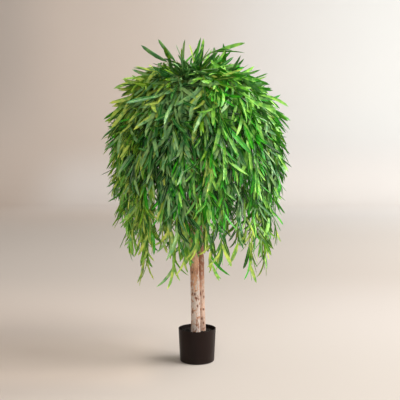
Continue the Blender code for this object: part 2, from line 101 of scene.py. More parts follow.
# Poles and boughs, by the rule of the solids
CLEARANCE = 0.0003
FLARE = 1.05
FLARE_HEIGHT = 0.05
POLE_SWAY = 0.0025
POLE_SWAY_TURNS = 9.0
POLE_SWAY_SHIFT = 0.03
POLE_EVEN = 0.3
POLE_SIDES = 96
POLE_RING = 0.0026
BOUGH_LEVEL_SKIP = 5
BOUGH_SIDES = 24
BOUGH_RING = 0.004
BOUGH_ROOT_RADIUS = 0.0075
BOUGH_TIP_RADIUS = 0.0050
BOUGH_TIP_REACH = 0.160
BOUGH_TIP_HEIGHT = 1.142
BOUGH_TIP_SHARE = 0.03
BOUGH_BULGE = 0.06
BOUGH_RELIEF = 0.7
BOUGH_LOPSIDED = 0.100
SECOND_POLE_SIDE = 122.0
SECOND_POLE_BOUGHS = 50.0
SECOND_POLE_INNER = 25.0

# Bark: long grain, slow waves, raised pale flakes low down with hollows among them, and knots with a lip
BARK_AXIS_STEP = 0.01
GRAIN_RELIEF = 0.00035
GRAIN_FINENESS = (420.0, 34.0)
GRAIN_NOISE = (0.8, 2.1, 4)
WAVE_RELIEF = 0.0009
WAVE_FINENESS = (50.0, 16.0)
FLAKE_RELIEF = 0.0006
FLAKE_FINENESS = (95.0, 52.0)
FLAKE_NOISE = (0.7, 2.2, 4)
FLAKE_EDGE = (0.30, 0.42)
FLAKE_COVER = 0.50
FLAKES_TOP = 0.365
FLAKES_FADE = 0.05
HOLLOW_RELIEF = 0.0005
HOLLOW_EDGE = (0.34, 0.55)
HOLLOW_DARKNESS = 0.75
KNOT_RELIEF = 0.0016
KNOT_SIZE = (0.0045, 0.0075)
KNOT_LIP = 0.55
KNOT_LIP_SIZE = (0.0090, 0.013)
KNOT_LIP_SHARPNESS = 6.0

# Stems, side twigs and sprays
TWIG_SIDES = 5
SIDE_TWIG = 0.55
SPRAY_TWIG = 0.34
SPRAY_FREE = 0.19
SPRAY_BARE = 0.012
SPRAY_STARTS = (0.5, 1.0)
SPRAY_STEPS = (0.8, 1.2)
SPRAY_TURNS = (25.0, 80.0)
SPRAY_ARCHES = (0.07, 0.12)
SPRAY_DROPS = (0.05, 0.13)
SPRAY_LIFT = 34.0
SPRAY_FALL = -84.0
SPRAY_LIKE_TWIG = 0.6
TWIG_TAPER = 0.40
STEM_THICKNESS = 0.62
STEM_ARCHES = (0.97, 1.03)
SIDE_TWIG_LIFT = 8.0
SIDE_TWIG_BARE = 0.03
SIDE_TWIG_TURNS = (-3.0, 3.0)
SIDE_TWIG_ARCHES = (0.95, 1.05)
SIDE_TWIG_HEMS = (0.7, 1.3)
INNER_START = 0.905
INNER_START_STEP = 0.018
DOME_START_BELOW_HEAD = 0.014
DOME_START_STEP = 0.022
STEM_FOOT = 0.012
ARCH_STEP = 0.022
HANG_STEP = 0.040
SAG = 150.0
STEEPEST = 92.0
TWIG_SWAY = 0.007
TWIG_SWAY_LENGTH = 0.26
TWIG_SWAY_FOOT = 0.15
LAST_LEAF_DROP = 0.108
LEAF_SPREAD_HIGH = (12.0, 54.0)

# Crest: a stem, twigs that spiral up it, drooping twigs, and the one leaf that reaches the full height
CREST_DRAW = 6
CREST_STEM = (0.010, 0.0, 0.075)
CREST_STEM_RADIUS = 0.0030
CREST_TWIGS = 12
CREST_TWIG = 0.120
CREST_TWIG_BARE = 0.02
CREST_TWIG_LENGTHS = (0.75, 1.2)
CREST_TWIG_HEADING = 20.0
CREST_TWIG_SPIRAL = 135.0
CREST_TWIG_TURNS = (-10.0, 10.0)
CREST_TWIG_FIRST = 0.30
CREST_TWIG_SPAN = 0.68
CREST_TWIG_RISES = (30.0, 62.0)
CREST_TWIG_BEND = 8.5
CREST_TWIG_STEPS = 6
CREST_LOPSIDED = 0.30
CREST_LEAVES = (0.042, 1.30, LEAF_SPREAD_HIGH)
CREST_DROOPS = 9
CREST_DROOP_TURNS = (-15.0, 15.0)
CREST_DROOP_ROOTS = (0.45, 0.85)
CREST_DROOP_ARCHES = (0.17, 0.27)
CREST_DROOP_BEND = (58.0, -66.0)
CREST_DROOP_DROP = 0.16
CREST_DROOP_LEAVES = (0.0294, 1.196, LEAF_SPREAD_HIGH)
TOP_LEAF_LEAN = 0.25
TOP_LEAF_WIDTH = 1.15
TOP_LEAF_BEND = 0.02
TOP_LEAF_TWIST = 0.2

# Leaves, true to size
STRAIGHT = 1e-6
LEAF_LENGTH = 0.108
LEAF_WIDTH = 0.0126
LEAF_THICKNESS = 0.0007
LEAF_FOLD = 0.30
LEAF_RIB = 0.10
LEAF_RIB_RISE = 0.00035
LEAF_STATIONS = ((0.05, 0.30), (0.17, 0.76), (0.40, 1.00), (0.68, 0.95), (0.88, 0.68))
LEAF_OUTWARD = (0.0, 0.55)
LEAF_FACE_OUTWARD = 0.4
OUTWARD_RISE = 0.06
LEAN_LOW = 0.15
LEAN_HEIGHTS = (0.55, 0.95)
LEAF_ROLL = 0.8
LEAF_SIDES = (-0.5, 1.2)
LEAF_SPREAD_LOST = 0.40
LEAF_STARTS = (0.2, 0.8)
LEAF_STEPS = (0.75, 1.25)
LEAF_STOP = 0.3
LEAF_SIZES = (0.72, 1.22)
LEAF_WIDTHS = (0.88, 1.12)
LEAF_WIDTH_GROWTH = 1.15
LEAF_BEND = (-0.35, 1.05)
LEAF_SWEEP = 0.60
LEAF_TWIST = 0.7
TIP_LEAF_INSET = 0.002
TIP_LEAF_SPREADS = (5.0, 16.0)
TIP_LEAF_SIZES = (0.8, 1.05)
TOP_HEIGHTS = (1.08, 1.30)
TOP_UPRIGHT = 0.90
TOP_ROLL = 1.0
TOP_OPEN = 0.45
CREST_HEIGHTS = (1.27, 1.38)
HEM_HEIGHTS = (0.55, 0.82)
HEM_FULLER = 0.10
HEM_SICKLE = 0.7

# Where in the crown the leaves take lighter or yellower tints than their place along a spray gives them.
# The lighter tints on the top, the crest and the left edge are painted light, and the darker ones in the
# hem painted shade
LIGHT_SPREAD = (-0.60, 0.40)
TOP_PAINTED_LIGHT = 0.4032
TOP_SIDES_PAINTED_LIGHT = 0.476
TOP_LEFT_PAINTED_LIGHT = 0.28
CREST_PAINTED_LIGHT = 0.40
LEFT_EDGE_PAINTED_LIGHT = 0.45
HEM_PAINTED_SHADE = -0.10
SIDES_REACH = (0.05, 0.28)
LEFT_REACH = (0.0, 0.25)
EDGE_REACH = (0.20, 0.36)
WARM_HEM = 0.74
WARM_TOP_LEFT = 0.50

# Weights by which sprays take the families of tints, and what each gains where the spray grows
COOL = 0.24
COOL_IN_FRONT = 0.60
COOL_IN_FRONT_HIGH = 0.62
COOL_INSIDE = 0.45
GREEN = 0.44
GREEN_RIGHT = 0.34
WARM = 0.18
WARM_HIGH = 0.08
WARM_LEFT = 0.40

# Room for twigs and leaves: past the sides of the solids' box, under its top, and round the poles
PAST_LOW_SIDES = 0.03
PAST_LOW_SIDES_MORE = 0.003
PAST_HIGH_SIDES = 0.005
UNDER_TOP = 0.001
POLE_ROOM = 0.004


# Materials

class Signal:
    """A value that runs between shader nodes. Sums and products of signals add their own Math nodes."""

    def __init__(self, finish, socket):
        self.finish = finish
        self.socket = socket

    def math(self, operation, first, second):
        return self.finish.node("ShaderNodeMath", {"operation": operation}, {0: first, 1: second})

    def __add__(self, other):
        return self.math("ADD", self, other)

    def __rsub__(self, other):
        return self.math("SUBTRACT", other, self)

    def __mul__(self, other):
        return self.math("MULTIPLY", self, other)

    __radd__ = __add__
    __rmul__ = __mul__

    def within(self, low, high):
        """0 below low, 1 above high, and a smooth climb between."""
        settings = {"interpolation_type": "SMOOTHSTEP"}
        return self.finish.node("ShaderNodeMapRange", settings, {"Value": self, 1: low, 2: high})

    def fading(self, low, high):
        """1 below low, 0 above high, and a smooth fall between."""
        return 1.0 - self.within(low, high)


class Finish:
    """A material in the making, round its Principled shader."""

    def __init__(self, name, **constants):
        self.material = bpy.data.materials.new(name)
        self.material.use_nodes = True
        self.tree = self.material.node_tree
        self.shader = self.tree.nodes["Principled BSDF"]
        self.place = self.node("ShaderNodeTexCoord", {}, {}, "Object")
        for socket, value in constants.items():
            self.shader.inputs[socket.replace("_", " ")].default_value = value

    def node(self, kind, settings, sockets, output=0):
        """A node of a kind with its settings, and its sockets set to values or linked to signals."""
        made = self.tree.nodes.new(kind)
        for name, value in settings.items():
            setattr(made, name, value)
        for name, value in sockets.items():
            if isinstance(value, Signal):
                self.tree.links.new(value.socket, made.inputs[name])
            else:
                made.inputs[name].default_value = value
        return Signal(self, made.outputs[output])

    def stretched(self, scale):
        return self.node("ShaderNodeMapping", {}, {"Vector": self.place, "Scale": scale})

    def noise(self, scale, detail=3.0, rough=0.5, place=None):
        values = {"Vector": place or self.place, "Scale": scale, "Detail": detail, "Roughness": rough}
        return self.node("ShaderNodeTexNoise", {}, values)

    def attribute(self, name):
        return self.node("ShaderNodeAttribute", {"attribute_name": name}, {}, "Fac")

    def along(self, axis):
        return self.node("ShaderNodeSeparateXYZ", {}, {0: self.place}, axis)

    def mix(self, share, first, second):
        """Colour between first and second."""
        colours = {0: share, 6: first, 7: second}
        return self.node("ShaderNodeMix", {"data_type": "RGBA", "clamp_factor": True}, colours, 2)

    def bump(self, relief, strength, distance):
        values = {"Height": relief, "Strength": strength, "Distance": distance}
        return self.node("ShaderNodeBump", {}, values)

    def wear(self, colour=None, roughness=None, normal=None):
        """Links what varies over the surface to the shader, and returns the finished material."""
        for socket, signal in (("Base Color", colour), ("Roughness", roughness), ("Normal", normal)):
            if signal:
                self.tree.links.new(signal.socket, self.shader.inputs[socket])
        return self.material


def rgb(*values):
    """A colour given as 0 to 255 display values."""
    shares = [value / 255 for value in values]
    return tuple(s / 12.92 if s <= 0.04045 else ((s + 0.055) / 1.055) ** 2.4 for s in shares) + (1.0,)


def tinted(colour, red, green, blue):
    """The colour with its channels multiplied by the factors."""
    return (colour[0] * red, colour[1] * green, colour[2] * blue, 1.0)


def shaded(colour, factor):
    return tinted(colour, factor, factor, factor)


def leaf_finish(name, colour, roughness):
    """Printed cloth with a faint coating: cooler dark and warmer light blotches, and a fine weave."""
    made = Finish(name, Specular_IOR_Level=0.44)
    blotches = made.noise(scale=38.0, detail=2.0)
    weave = made.noise(scale=1500.0, detail=1.0)
    cooler = tinted(colour, red=0.44, green=0.72, blue=0.64)
    warmer = tinted(colour, red=1.42, green=1.28, blue=1.05)
    tint = made.mix(blotches.within(0.30, 0.70), cooler, warmer)
    rough = roughness - 0.07 + 0.14 * blotches
    return made.wear(tint, rough, made.bump(weave, 0.25, 0.0002))


def twig_finish():
    """Moulded twig, olive with yellower stretches."""
    made = Finish("twig_green", Specular_IOR_Level=0.4)
    stretches = made.noise(scale=18.0, detail=2.0)
    tint = made.mix(stretches.within(0.35, 0.65), rgb(104, 122, 42), rgb(150, 160, 66))
    return made.wear(tint, 0.45 + 0.15 * stretches, made.bump(made.noise(scale=700.0), 0.3, 0.0003))


def bark_finish(name, brown, orange, pale):
    """Bark: brown to orange along the grain, pale flakes where the mesh has them, dark knots and pits."""
    made = Finish(name, Specular_IOR_Level=0.25)
    grain = made.noise(scale=70.0, detail=5.0, rough=0.6, place=made.stretched((1.0, 1.0, 0.16)))
    mottle = made.noise(scale=85.0, detail=4.0, rough=0.65)
    speckle = made.noise(scale=420.0, detail=3.0, rough=0.7)
    clouds = made.noise(scale=22.0, detail=3.0, place=made.stretched((1.0, 1.0, 0.45)))
    base = made.mix(clouds.within(0.36, 0.62), brown, orange)
    base = made.mix(grain.within(0.42, 0.72) * 0.55, base, shaded(brown, 0.62))
    base = made.mix(mottle.within(0.56, 0.72) * 0.45, base, shaded(orange, 1.35))
    flake = made.attribute("flake")
    crust = made.mix(speckle.within(0.35, 0.68), shaded(pale, 0.74), shaded(pale, 1.10))
    colour = made.mix(flake, base, crust)
    pits = (made.attribute("pit") + mottle.within(0.66, 0.76) * 0.55).within(0.25, 0.80)
    colour = made.mix(pits * 0.85, colour, rgb(78, 52, 42))
    relief = grain * 0.5 + speckle * 0.35 + mottle * 0.5
    return made.wear(colour, 0.78 + 0.14 * speckle, made.bump(relief, 0.55, 0.0012))


def pot_finish():
    """Matt black plastic with a brown cast, a fine grain, and dust that gathers at the foot."""
    made = Finish("pot_plastic", Specular_IOR_Level=0.20)
    smears = made.noise(scale=14.0, detail=4.0, place=made.stretched((1.0, 1.0, 0.35)))
    grain = made.noise(scale=1100.0, detail=2.0)
    dust = made.along("Z").fading(0.0, 0.045) * smears.within(0.45, 0.75)
    tint = made.mix(smears.within(0.3, 0.7), rgb(24, 12, 9), rgb(32, 18, 14))
    tint = made.mix(dust * 0.25, tint, rgb(80, 70, 62))
    return made.wear(tint, 0.34 + 0.10 * smears + 0.12 * dust, made.bump(grain, 0.18, 0.0003))


def fill_finish(name, colour):
    """Dark crumbs, rough all over."""
    made = Finish(name, Specular_IOR_Level=0.3)
    speckle = made.noise(scale=380.0, detail=4.0, rough=0.7)
    tint = made.mix(speckle.within(0.35, 0.7), shaded(colour, 0.6), shaded(colour, 1.5))
    return made.wear(tint, 0.80 + 0.15 * speckle, made.bump(speckle, 0.7, 0.0010))


def backdrop_finish():
    """Seamless paper, uneven in tint, with painted light and shade: painted shade warmer and a little
    darker to the left, darker on the near floor, in a band behind the plant and in the upper left corner;
    painted light cooler up the right, and lighter beside the pot over the plant's cast shadow and at the
    foot of the wall."""
    made = Finish("studio_paper", Specular_IOR_Level=0.2)
    across, away, up = made.along("X"), made.along("Y"), made.along("Z")
    clouds = made.noise(scale=0.45, detail=2.0)
    # Painted shade on the near floor, darker to the right.
    near_floor_painted_shade = made.mix(across.within(-1.0, 1.0), rgb(223, 210, 199), shaded(rgb(229, 220, 212), 0.90))
    # Painted shade: warmer and a little darker to the left, neutral to the right.
    tint = made.mix(across.within(-1.6, 1.8), rgb(229, 213, 200), rgb(231, 224, 219))
    tint = made.mix(away.within(-1.2, 2.2), near_floor_painted_shade, tint)
    # Painted shade on the floor in a band behind the plant.
    painted_shade_band = away.within(0.3, 2.6) * away.fading(4.5, 9.5)
    # Painted light on the floor beside the pot, lightening the plant's cast shadow there.
    painted_light_beside_pot = away.within(-0.5, -0.2) * away.fading(0.1, 0.65) * across.fading(-0.3, -0.1)
    # Painted light up the right, lighter and cooler.
    right = across.within(-0.5, 3.5) * up.within(0.2, 1.6)
    # Painted shade in the upper left corner of the wall.
    painted_shade_left_corner = across.fading(-4.2, -2.6) * up.within(0.6, 2.8)
    # Painted light at the foot of the wall, apart from its far left.
    painted_light_wall_foot = away.within(6.8, 10.2) * up.fading(0.2, 1.2) * across.within(-3.5, -2.2)
    for share, colour in (
        (clouds * 0.4, rgb(228, 219, 211)),
        (painted_shade_band, shaded(rgb(229, 218, 208), 0.84)),
        (painted_light_beside_pot, rgb(244, 229, 216)),
        (right, rgb(232, 228, 223)),
        (painted_shade_left_corner, shaded(rgb(228, 216, 206), 0.84)),
        (painted_light_wall_foot, rgb(243, 234, 227)),
    ):
        tint = made.mix(share, tint, colour)
    return made.wear(tint, 0.85 + 0.10 * clouds)


BARK_MAIN = bark_finish("bark_main", rgb(174, 122, 98), rgb(230, 180, 146), rgb(226, 210, 198))
BARK_SECOND = bark_finish("bark_second", rgb(180, 128, 104), rgb(230, 186, 160), rgb(236, 218, 202))
POT_PLASTIC = pot_finish()
FILL_DARK = fill_finish("fill_dark", rgb(40, 36, 34))
FILL_GREY = fill_finish("fill_grey", rgb(62, 58, 55))
FILL_BROWN = fill_finish("fill_brown", rgb(58, 46, 38))
TWIG_GREEN = twig_finish()

# Leaf colours by family: three tints from the foot of a spray to its tip, then rib and underside
LEAF_COLOURS = {
    "cool": (rgb(10, 54, 20), rgb(42, 120, 46), rgb(138, 182, 120), rgb(142, 186, 106), rgb(90, 138, 78)),
    "green": (rgb(10, 94, 4), rgb(46, 176, 18), rgb(152, 216, 98), rgb(142, 208, 72), rgb(86, 162, 44)),
    "warm": (rgb(54, 104, 6), rgb(112, 168, 26), rgb(184, 208, 96), rgb(190, 222, 108), rgb(134, 172, 58)),
}
LEAF_PARTS = (("1", 0.36), ("2", 0.36), ("3", 0.36), ("rib", 0.45), ("under", 0.60))
TINT_STEPS = 3
TINT_SLOTS = {family: i * len(LEAF_PARTS) for i, family in enumerate(LEAF_COLOURS)}
LEAF_FINISHES = [
    leaf_finish(f"leaf_{family}_{part}", colour, roughness)
    for family, colours in LEAF_COLOURS.items()
    for (part, roughness), colour in zip(LEAF_PARTS, colours)
]


# Modelling, as by hand

def add_primitive(name, add, **settings):
    """A new primitive, selected and active, with its origin at the frame's."""
    add(**settings)
    bpy.ops.object.transform_apply(location=True, rotation=False, scale=False)
    piece = bpy.context.object
    piece.name = name
    piece.data.name = name
    return piece


def add_cylinder(name, sides, radius, low, high):
    return add_primitive(
        name, bpy.ops.mesh.primitive_cylinder_add,
        vertices=sides, radius=radius, depth=high - low, location=(0.0, 0.0, (low + high) / 2),
    )


@contextmanager
def edit_mode(piece):
    bpy.context.view_layer.objects.active = piece
    bpy.ops.object.mode_set(mode="EDIT")
    yield
    bpy.ops.object.mode_set(mode="OBJECT")


def select(piece, kind, test):
    """Selects, in edit mode, the faces or edges whose corners all pass the test."""
    bpy.ops.mesh.select_mode(type=kind)
    bpy.ops.mesh.select_all(action="DESELECT")
    shape = bmesh.from_edit_mesh(piece.data)
    for item in shape.faces if kind == "FACE" else shape.edges:
        if all(test(vert.co) for vert in item.verts):
            item.select_set(True)
    bmesh.update_edit_mesh(piece.data)


def resize_flat(factor):
    bpy.ops.transform.resize(value=(factor, factor, 1.0), center_override=(0.0, 0.0, 0.0))


def extrude_by(offset):
    bpy.ops.mesh.extrude_region_move(TRANSFORM_OT_translate={"value": offset})


def dress(piece, sharp_from, materials):
    """Shades a piece smooth, apart from edges sharper than an angle, and gives it its materials."""
    piece.data.shade_smooth()
    piece.data.set_sharp_from_angle(angle=math.radians(sharp_from))
    for material in materials:
        piece.data.materials.append(material)


def place_on_plant(piece, sharp_from, materials, nodes):
    """Dresses a piece, and says what it rides on and which solids it stands for."""
    dress(piece, sharp_from, materials)
    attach(piece, BODY)
    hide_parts(*nodes)


def piece_from_arrays(name, corners, faces, slots):
    """A joined mesh as one object: its corners, its faces and each face's material slot."""
    mesh = bpy.data.meshes.new(name)
    mesh.from_pydata(corners, [], faces)
    mesh.polygons.foreach_set("material_index", np.array(slots, dtype=np.int32))
    piece = bpy.data.objects.new(name, mesh)
    bpy.context.scene.collection.objects.link(piece)
    return piece


# Pot and fill

def inner_radius(height):
    """Radius of the pot's inside at a height."""
    slope = (POT_RIM_RADIUS - POT_BASE_RADIUS) / POT_HEIGHT
    return POT_BASE_RADIUS - POT_WALL + slope * height


def model_pot():
    """A turned wall with a flat foot: a cylinder drawn in at the base, hollowed from the top, then its
    foot, rim and inner corner rounded."""
    pot = add_cylinder("pot_wall", POT_SIDES, POT_RIM_RADIUS, 0.0, POT_HEIGHT)
    inner_rim = POT_RIM_RADIUS - POT_WALL
    inner_foot = inner_radius(POT_FLOOR)
    with edit_mode(pot):
        select(pot, "FACE", lambda co: co.z < NEAR)
        resize_flat(POT_BASE_RADIUS / POT_RIM_RADIUS)
        select(pot, "FACE", lambda co: co.z > POT_HEIGHT - NEAR)
        bpy.ops.mesh.inset(thickness=POT_WALL)
        extrude_by((0.0, 0.0, POT_FLOOR - POT_HEIGHT))
        resize_flat(inner_foot / inner_rim)
        select(pot, "EDGE", lambda co: co.z < NEAR)
        bpy.ops.mesh.bevel(offset=POT_FOOT_BEVEL, segments=7)
        select(pot, "EDGE", lambda co: co.z > POT_HEIGHT - NEAR and co.xy.length > inner_rim - NEAR)
        bpy.ops.mesh.bevel(offset=POT_RIM_BEVEL, segments=3)
        inside = inner_foot + NEAR
        select(pot, "EDGE", lambda co: abs(co.z - POT_FLOOR) < NEAR and co.xy.length < inside)
        bpy.ops.mesh.bevel(offset=POT_INNER_BEVEL, segments=3)
    place_on_plant(pot, 40, [POT_PLASTIC], ["pot"])


def fill_height(x, y):
    """Lumpy top of the fill, which stays just under its nominal level on average."""
    place = Vector((x, y, 0.0))
    return FILL_RELIEF * (noise.fractal(place * FILL_FINENESS, *FILL_NOISE) - FILL_SINK)


def model_fill():
    """The fill's block with an uneven top: a cylinder whose top is inset ring by ring, then raised."""
    radius = inner_radius(GROUND) - FILL_GAP
    foot = POT_FLOOR + CLEARANCE
    fill = add_cylinder("fill_bed", FILL_SIDES, radius, foot, GROUND)
    with edit_mode(fill):
        select(fill, "FACE", lambda co: co.z < foot + NEAR)
        resize_flat((inner_radius(foot) - POT_INNER_BEVEL - FILL_GAP) / radius)
        select(fill, "FACE", lambda co: co.z > GROUND - NEAR)
        for _ in range(FILL_RINGS):
            bpy.ops.mesh.inset(thickness=radius / (FILL_RINGS + 1))
        bpy.ops.mesh.poke()
    for vert in fill.data.vertices:
        if vert.co.z > GROUND - NEAR:
            vert.co.z = GROUND + fill_height(vert.co.x, vert.co.y)
    place_on_plant(fill, 60, [FILL_DARK], ["pot_fill"])


def scatter_lumps():
    """Crumbs of the fill, copied from one rough ball of twenty faces and joined."""
    ball = add_primitive("lump", bpy.ops.mesh.primitive_ico_sphere_add, subdivisions=1, radius=1.0)
    shape = np.array([vert.co for vert in ball.data.vertices])
    faces = np.array([face.vertices for face in ball.data.polygons])
    bpy.data.objects.remove(ball, do_unlink=True)
    rng = np.random.default_rng(SEED)
    corners, joined, slots = [], [], []
    room = inner_radius(GROUND) - LUMP_RADIUS[1] - FILL_GAP
    feet = [(pole_axis(pole, GROUND), pole.radius) for pole in POLES]
    while len(joined) < LUMPS:
        reach, turn = room * math.sqrt(rng.random()), rng.random() * math.tau
        spot = Vector((reach * math.cos(turn), reach * math.sin(turn), 0.0))
        size = LUMP_RADIUS[0] + (LUMP_RADIUS[1] - LUMP_RADIUS[0]) * rng.random() ** 2
        if any((spot.xy - foot.xy).length < radius + size * LUMP_UNDER_POLE for foot, radius in feet):
            continue
        spot.z = GROUND + fill_height(spot.x, spot.y) + size * LUMP_RISE
        squeeze = size * rng.uniform(*LUMP_SQUEEZE, 3)
        rough = shape * (1.0 + rng.uniform(-LUMP_ROUGHNESS, LUMP_ROUGHNESS, (len(shape), 1))) * squeeze
        lump = rough @ np.array(Matrix.Rotation(rng.random() * math.tau, 3, "Z"))
        joined.append(faces + len(shape) * len(joined))
        corners.append(lump + np.array(spot))
        slots += [int(rng.integers(0, 3))] * len(faces)
    corners, joined = np.concatenate(corners).tolist(), np.concatenate(joined).tolist()
    lumps = piece_from_arrays("fill_crumbs", corners, joined, slots)
    place_on_plant(lumps, 25, [FILL_DARK, FILL_GREY, FILL_BROWN], ["pot_fill"])


# Wood

@dataclass(frozen=True)
class Pole:
    """A pole: where it stands, how far it leans for each metre up, its radii and top, the height of its
    lowest bough and the step up to the next, how flaky its bark is, and its knots' headings and heights."""

    name: str
    foot: tuple
    lean: tuple
    radius: float
    tip_radius: float
    top: float
    fork: float
    fork_step: float
    flaky: float
    knots: tuple


MAIN_POLE = Pole(
    "trunk_main", (-0.0065, 0.0), (-0.022, 0.0), radius=0.0212, tip_radius=0.0100, top=1.268,
    fork=0.985, fork_step=0.0165, flaky=1.0,
    knots=((-42.0, 0.232), (-8.0, 0.318), (24.0, 0.262), (-35.0, 0.420), (150.0, 0.300), (95.0, 0.52)),
)
SECOND_POLE = Pole(
    "trunk_second", (0.0290, 0.0200), (-0.036, 0.020), radius=0.0135, tip_radius=0.0090, top=1.100,
    fork=0.950, fork_step=0.010, flaky=0.55,
    knots=((-12.0, 0.196), (160.0, 0.34), (70.0, 0.47)),
)
POLES = (MAIN_POLE, SECOND_POLE)


def heading(degrees):
    """Horizontal unit vector: 0 points to the front, and positive turns towards +X."""
    angle = math.radians(degrees)
    return Vector((math.sin(angle), -math.cos(angle), 0.0))


def climb(degrees, up):
    """Direction that climbs at up degrees along a heading."""
    return heading(degrees) * math.cos(math.radians(up)) + UP * math.sin(math.radians(up))


def pole_axis(pole, height):
    above = height - GROUND
    sway = POLE_SWAY * math.sin(above * POLE_SWAY_TURNS + math.tau * pole.foot[1] / POLE_SWAY_SHIFT)
    return Vector((pole.foot[0] + pole.lean[0] * above + sway, pole.foot[1] + pole.lean[1] * above, height))


def pole_radius(pole, height):
    share = (height - GROUND) / (pole.top - GROUND)
    thinned = max(0.0, (share - POLE_EVEN) / (1.0 - POLE_EVEN))
    taper = pole.radius + (pole.tip_radius - pole.radius) * thinned
    flare = max(0.0, 1.0 - (height - GROUND) / FLARE_HEIGHT) ** 2
    return taper * (1.0 + (FLARE - 1.0) * flare)


CROWN_AXIS = pole_axis(MAIN_POLE, MAIN_POLE.top)


def pole_towards(degrees, span):
    """The second pole within the span of its own side, and elsewhere the main one."""
    return SECOND_POLE if abs(degrees - SECOND_POLE_SIDE) < span else MAIN_POLE


def bough_path(number):
    """A function from a share of a bough's length to its point."""
    degrees = CURTAIN.heading_of(number)
    level = (number * BOUGH_LEVEL_SKIP) % CURTAIN.count
    pole = pole_towards(degrees, SECOND_POLE_BOUGHS)
    foot = pole_axis(pole, pole.fork + pole.fork_step * level)
    stretch = 1.0 + BOUGH_LOPSIDED * math.sin(math.radians(degrees))
    tip = Vector((CROWN_AXIS.x, CROWN_AXIS.y, BOUGH_TIP_HEIGHT))
    tip += heading(degrees) * BOUGH_TIP_REACH * stretch
    approach = foot.lerp(tip, 0.5) + UP * BOUGH_BULGE * (tip - foot).length
    return lambda t: foot.lerp(approach, t).lerp(approach.lerp(tip, t), t)


def smoothstep(value, low, high):
    share = min(1.0, max(0.0, (value - low) / (high - low)))
    return share * share * (3.0 - 2.0 * share)


def bark_relief(out, height, reach, knots, flaky):
    """How far the bark stands out at a place on a limb, and how flaky and how pitted it is there."""
    on = out * reach

    def place(across, along):
        return Vector((on.x * across, on.y * across, height * along))

    grain = noise.fractal(place(*GRAIN_FINENESS), *GRAIN_NOISE)
    waves = noise.noise(place(*WAVE_FINENESS))
    patch = noise.fractal(place(*FLAKE_FINENESS), *FLAKE_NOISE)
    covered = 1.0 - smoothstep(height, FLAKES_TOP - FLAKES_FADE, FLAKES_TOP + FLAKES_FADE)
    low, high = (edge - FLAKE_COVER * covered for edge in FLAKE_EDGE)
    flake = smoothstep(patch, low, high) * flaky
    pit = 0.0
    relief = GRAIN_RELIEF * grain + WAVE_RELIEF * waves + FLAKE_RELIEF * flake
    for turn, level in knots:
        apart = (heading(turn).angle(out) * reach, height - level)
        near = math.exp(-sum((gap / size) ** 2 for gap, size in zip(apart, KNOT_SIZE)))
        from_lip = sum((gap / size) ** 2 for gap, size in zip(apart, KNOT_LIP_SIZE)) ** 0.5 - 1.0
        lip = math.exp(-KNOT_LIP_SHARPNESS * from_lip**2)
        pit = max(pit, near)
        relief += KNOT_RELIEF * (KNOT_LIP * lip - near)
    hollow = smoothstep(-patch, *HOLLOW_EDGE) * covered
    return relief - HOLLOW_RELIEF * hollow, flake * (1.0 - pit), max(pit, HOLLOW_DARKNESS * hollow)


def model_limb(node, bark, axis, radius, length, sides, ring, knots=(), flaky=0.0, strength=1.0):
    """The bark of a limb: a cylinder cut into rings, whose corners are then set round the limb's axis. The
    rings lie level on a limb with knots, and square to the axis on others."""
    limb = add_cylinder(node + "_bark", sides, 1.0, 0.0, 1.0)
    cuts = math.ceil(math.sqrt(length / ring))
    with edit_mode(limb):
        for _ in range(2):
            select(limb, "EDGE", lambda co: True)
            shape = bmesh.from_edit_mesh(limb.data)
            for edge in shape.edges:
                edge.select_set(abs(edge.verts[0].co.z - edge.verts[1].co.z) > NEAR)
            bmesh.update_edit_mesh(limb.data)
            bpy.ops.mesh.subdivide(number_cuts=cuts - 1)
    flakes = limb.data.attributes.new("flake", "FLOAT", "POINT")
    pits = limb.data.attributes.new("pit", "FLOAT", "POINT")
    for i, vert in enumerate(limb.data.vertices):
        share = min(1.0, max(0.0, vert.co.z))
        centre, reach = axis(share), radius(share)
        out = Vector((vert.co.x, vert.co.y, 0.0)).normalized()
        height = centre.z
        if not knots:
            ahead, behind = axis(min(1.0, share + BARK_AXIS_STEP)), axis(max(0.0, share - BARK_AXIS_STEP))
            out = UP.rotation_difference((ahead - behind).normalized()) @ out
            height = share * length
        relief, flake, pit = bark_relief(out, height, reach, knots, flaky)
        vert.co = centre + out * (reach + relief * strength)
        flakes.data[i].value = flake
        pits.data[i].value = pit
    place_on_plant(limb, 70, [bark], [node])


def model_poles():
    foot = GROUND + CLEARANCE
    for pole, bark in zip(POLES, (BARK_MAIN, BARK_SECOND)):
        span = pole.top - foot
        model_limb(
            pole.name, bark,
            lambda t: pole_axis(pole, foot + span * t),
            lambda t: pole_radius(pole, foot + span * t),
            span, POLE_SIDES, POLE_RING, pole.knots, pole.flaky,
        )


def model_boughs():
    for number in range(CURTAIN.count):
        path = bough_path(number)
        length = (path(1.0) - path(0.0)).length
        model_limb(
            f"bough_{number + 1:02d}", BARK_MAIN, path,
            lambda t: BOUGH_ROOT_RADIUS + (BOUGH_TIP_RADIUS - BOUGH_ROOT_RADIUS) * t,
            length, BOUGH_SIDES, BOUGH_RING, strength=BOUGH_RELIEF,
        )


# Foliage

@dataclass(frozen=True)
class Tier:
    """A ring of foliage masses: how their stems leave the wood, arch over and hang to their hems.

    Each side twig is the share of the stem's arch where it leaves, its turn, its own arch, and how much
    higher than the mass's hem it ends. The leaves are given by their step, their size and how far they
    splay, and the draw picks one of the seed's many crowns.
    """

    name: str
    first_heading: float
    lopsided: float
    stem_radius: float
    rise: float
    fall: float
    arch: float
    bare: float
    hems: tuple
    side_twigs: tuple
    spray_step: float
    leaves: tuple
    draw: int

    @property
    def count(self):
        return len(self.hems)

    def heading_of(self, number):
        return self.first_heading + number * 360.0 / self.count

    def reach(self, degrees):
        """How far a twig that leaves along a heading goes, against one that goes to the front."""
        return 1.0 + self.lopsided * math.sin(math.radians(degrees))


